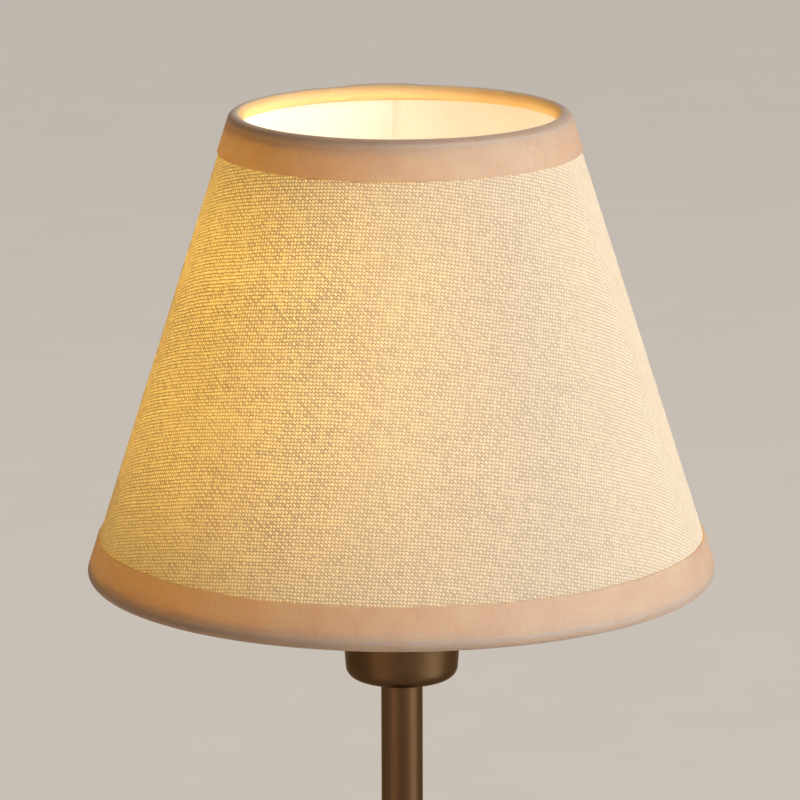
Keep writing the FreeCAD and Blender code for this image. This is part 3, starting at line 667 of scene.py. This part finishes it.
def tape_piece(name, centre, along, face_height, seed, arms):
    """The tape over one edge, as one skin: it wavers, swells and puckers a little, and rises over the lap."""
    face = (face_height - ROLL) / UP[1]
    line, face_count, land = tape_line(face)
    step = np.r_[0, np.cumsum(np.linalg.norm(np.diff(line, axis=0), axis=1))]
    bearing = np.linspace(0, TURN, TAPE_COLUMNS + 1)[:-1]
    if arms:
        near = np.linspace(-ARM_HALF_BEARING, ARM_HALF_BEARING, 31)
        bearing = np.unique(np.round(np.r_[bearing, math.pi / 2 + near, 1.5 * math.pi + near], 6))
    edge = along[1] / UP[1]
    mid_radius = centre[0]
    x, y = mid_radius * np.sin(bearing), -mid_radius * np.cos(bearing)
    waver = wander(x, y, seed, *WAVER_SHORT) + wander(x, y, seed + 50.0, *WAVER_LONG)
    swell = wander(x, y, seed + 90.0, *SWELL)
    folds = wander(x, y, seed + 130.0, *FOLDS)
    lap = lap_rise(bearing, mid_radius)[None, :]

    out, up = line[:, :1], line[:, 1:]
    on_face = smooth_step(up / face)
    outside = smooth_step((out + ROLL) / (2 * ROLL)) * (np.arange(len(line)) < face_count)[:, None]
    puckered = smooth_step(up / 1.5) * (out < ROLL * 0.5) * (1 - smooth_step((up - land + 0.9) / 0.9))
    new_out = out + outside * (lap + swell[None, :]) + puckered * folds[None, :]
    new_up = up + on_face * waver[None, :] * (out > 0)
    radius, height = on_slant(centre, along, new_out, new_up)
    points = spun(radius, height, np.broadcast_to(bearing, radius.shape))
    uv = np.stack(np.broadcast_arrays(bearing[None, :] * mid_radius, step[:, None] * edge), -1)
    return grid(name, points, uv, around=True, keep=clear_of_arms if arms else None)


def make_cap():
    """The rolled cap: a round thread below, a plain skirt above and a turned-in edge at the glass."""
    low, high = (corner.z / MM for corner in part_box("bulb_cap"))
    heights = np.linspace(low + 0.4, high - 0.5, CAP_ROWS)
    bearing = np.linspace(0, TURN, CAP_COLUMNS + 1)[:-1]
    h, b = np.meshgrid(heights, bearing, indexing="ij")
    wave = 0.5 + 0.5 * np.cos(TURN * (h / THREAD_PITCH - b / TURN))
    fade = smooth_step((h - low - 0.6) / 1.2) * (1 - smooth_step((h - low - THREAD_END) / 1.6))
    thread = THREAD_ROOT + (CAP_RADIUS - THREAD_ROOT) * wave
    plain = np.where(h > low + SKIRT_START, CAP_RADIUS - 0.03, THREAD_ROOT + 0.12)
    wall = thread * fade + plain * (1 - fade)
    foot = np.array([(CAP_FOOT_RADIUS, low), (CAP_FOOT_RADIUS + 0.04, low + 0.2)])
    mouth = np.array([(CAP_RADIUS - 0.02, high - 0.35), (CAP_RADIUS - 0.08, high - 0.15),
                      (CAP_RADIUS - 0.22, high - 0.02), (CAP_MOUTH_RADIUS, high)])
    radius, height = (
        np.vstack([np.repeat(foot[:, i:i + 1], CAP_COLUMNS, 1), middle,
                   np.repeat(mouth[:, i:i + 1], CAP_COLUMNS, 1)])
        for i, middle in ((0, wall), (1, h)))
    return grid("rolled_cap", spun(radius, height, np.broadcast_to(bearing, radius.shape)), around=True)


def seen_rays(p):
    """1 for rays that show the background itself: from the camera, in metal and through glass."""
    path = p.add("LightPath").outputs
    seen = p.math("MAXIMUM", path["Is Camera Ray"], path["Is Glossy Ray"])
    return p.math("MAXIMUM", seen, path["Is Transmission Ray"])


def make_floor():
    """A plain pale floor, clear when seen from below."""
    p = Paint("floor_pale")
    speck = p.noise(p.place(), 18.0, 5.0, 0.6)
    tone = p.mix(p.remap(speck, 0.3, 0.7), *FLOOR)
    bright = p.add("Emission", {"Color": tone, "Strength": 1.0}).outputs[0]
    shown = p.blend(p.times(seen_rays(p), FLOOR_SHOWN), p.diffuse(tone), bright)
    below = p.add("NewGeometry").outputs["Backfacing"]
    clear = p.add("BsdfTransparent").outputs[0]
    turns = [TURN * i / FLOOR_SIDES for i in range(FLOOR_SIDES)]
    ring = [(math.cos(a) * FLOOR_RADIUS, math.sin(a) * FLOOR_RADIUS, 0) for a in turns]
    mesh = bpy.data.meshes.new("floor")
    mesh.from_pydata(ring, [], [tuple(range(FLOOR_SIDES))])
    mesh.materials.append(p.done(p.blend(below, shown, clear)))
    link("floor", mesh)


def make_world():
    """A dim warm room that shows as a plain pale backdrop."""
    world = bpy.data.worlds.new("studio")
    scene.world = world
    world.use_nodes = True
    p = Paint("studio", world.node_tree)
    dim = p.add("Background", {"Color": DIM_ROOM, "Strength": ROOM_STRENGTH}).outputs[0]
    pale = p.add("Background", {"Color": BACKDROP, "Strength": 1.0}).outputs[0]
    p.add("OutputWorld", {"Surface": p.blend(seen_rays(p), dim, pale)})


def light(name, kind, place, energy, colour, **settings):
    data = bpy.data.lights.new(name, kind)
    data.energy = energy
    data.color = colour
    for key, value in settings.items():
        setattr(data, key, value)
    lamp = link(name, data)
    lamp.location = place
    lamp.visible_camera = False
    return lamp


def soft_box(name, azimuth, elevation, distance, width, height, energy, colour, spread):
    """A soft light, by its bearing from the camera's side, aimed at the lamp."""
    a, e = math.radians(azimuth), math.radians(elevation)
    away = Vector((math.sin(a) * math.cos(e), -math.cos(a) * math.cos(e), math.sin(e)))
    lamp = light(name, "AREA", LIGHTS_AIM + away * distance, energy, colour,
                 shape="RECTANGLE", size=width, size_y=height, spread=spread)
    turn(lamp, away.to_track_quat("Z", "Y"))


def make_glow():
    """The bulb's light: it rides the bulb, and doesn't show through the glass."""
    behind = Vector((math.sin(SIDE_BEARING), math.cos(SIDE_BEARING), 0))
    for height, share in GLOW_HEIGHTS:
        place = (GLOW_X, GLOW_Y, height)
        tag = "glow_%d" % (height * 1000)
        glow = light(tag, "POINT", place, GLOW_WATTS * share, GLOW_COLOUR, shadow_soft_size=GLOW_RADIUS)
        side = light("side_" + tag, "AREA", place, SIDE_WATTS * share, SIDE_COLOUR,
                     shape="DISK", size=SIDE_WIDTH)
        turn(side, behind.to_track_quat("Z", "Y"))
        for lamp in (glow, side):
            lamp.data.cycles.use_multiple_importance_sampling = False
            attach(lamp, "bulb")


def make_camera():
    """The photograph's view: from a little above, with a long lens."""
    back = Vector((0, -math.cos(CAMERA_ELEVATION), math.sin(CAMERA_ELEVATION)))
    data = bpy.data.cameras.new("camera")
    data.lens, data.sensor_width = LENS, SENSOR
    data.shift_x = SHIFT_X
    camera = link("camera", data)
    camera.location = CAMERA_AIM + back * CAMERA_DISTANCE
    roll = Matrix.Rotation(CAMERA_ROLL, 3, "Z").to_quaternion()
    turn(camera, (-back).to_track_quat("-Z", "Y") @ roll)
    scene.camera = camera


dress_stand()
dress_bulb()
dress_shade_wires()

cover = cone_sheet("shade_linen", LINEN_OUT, end_gap=0.0, inner=False)
cover.data.materials.append(linen("linen_natural"))
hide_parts("shade_cover")

inside = cone_sheet("shade_film", LINING_IN, end_gap=0.4, inner=True)
inside.data.materials.append(film("film_white"))
inside.visible_shadow = False
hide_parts("shade_lining")

tape_material = tape("tape_cotton")
bottom_tape = tape_piece("bottom_tape", LOW, UP, BOTTOM_FACE, 3.0, False)
top_tape = tape_piece("top_tape", HIGH, -UP, TOP_FACE, 17.0, True)
for trim, node in ((bottom_tape, "bottom_trim"), (top_tape, "top_trim")):
    trim.data.materials.append(tape_material)
    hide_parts(node)
for piece in (cover, inside, bottom_tape, top_tape):
    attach(piece, "shade")

cap = make_cap()
cap.data.materials.append(speckled("cap_nickel", (0.50, 0.49, 0.46), (0.80, 0.79, 0.75),
                                   150.0, (0.18, 0.34), 0.00003, metallic=1.0, stretch=(1.0, 1.0, 7.0)))
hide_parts("bulb_cap")
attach(cap, "bulb")

make_floor()
make_world()
for name, settings in SOFT_BOXES.items():
    soft_box(name, *settings)
make_glow()
make_camera()
scene.view_settings.view_transform = "Standard"
